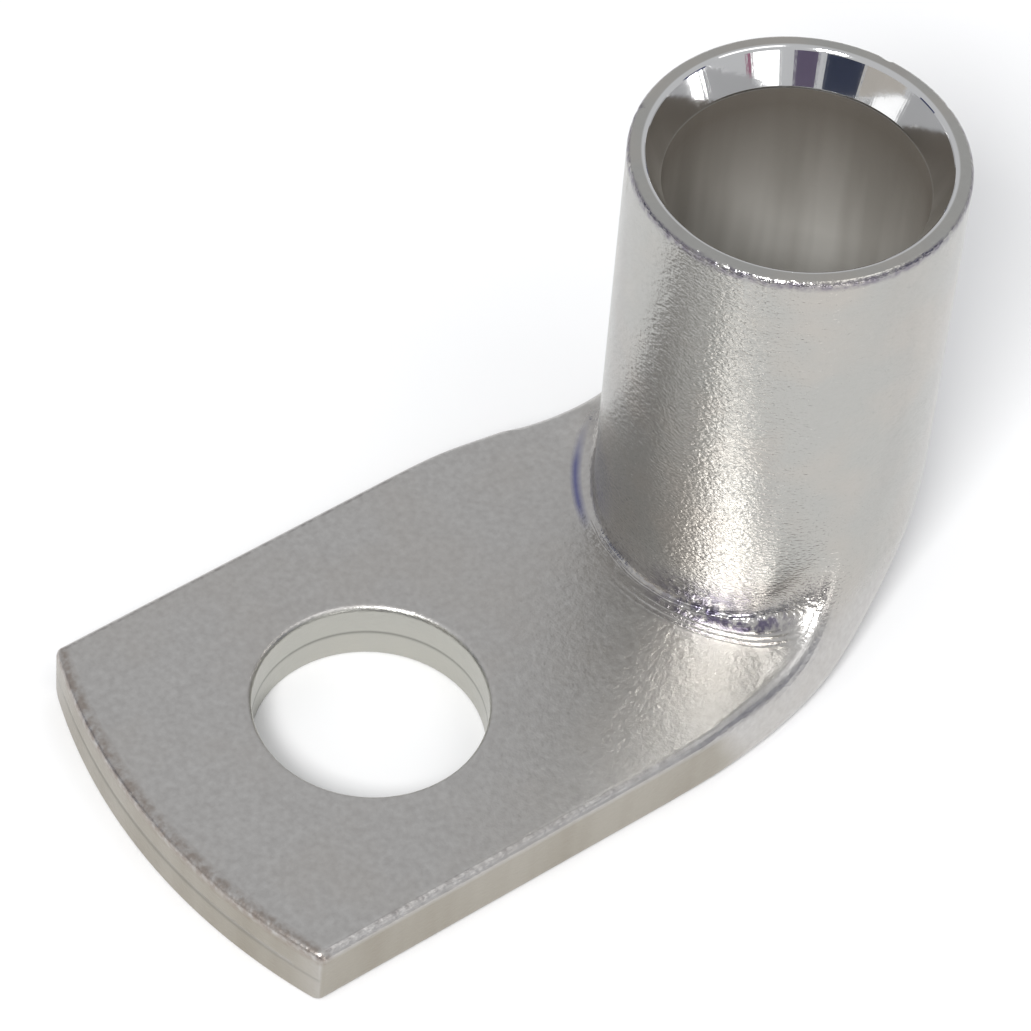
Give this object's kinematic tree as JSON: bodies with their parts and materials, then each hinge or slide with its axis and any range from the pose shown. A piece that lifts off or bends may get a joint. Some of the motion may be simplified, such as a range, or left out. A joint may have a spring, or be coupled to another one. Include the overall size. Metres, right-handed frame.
{
  "type": "right-angle cable lug",
  "caption": "Right-angle tube lug: a round barrel takes a stranded cable, and a flat bolt palm is folded square to it",
  "frame": {"origin": "On the bolt hole's axis, at the palm's flat contact face", "axes": "+X runs along the palm from the bolt hole to the barrel, +Y across the palm, +Z out of the contact face on the barrel's side, along the barrel to its mouth"},
  "size_m": [0.0408, 0.0206, 0.0253],
  "materials": {
    "tinned_copper": "tin plate over copper, satin, silver-grey"
  },
  "bodies": {
    "root": {"cable_lug": "tinned_copper"}
  },
  "joints": []
}
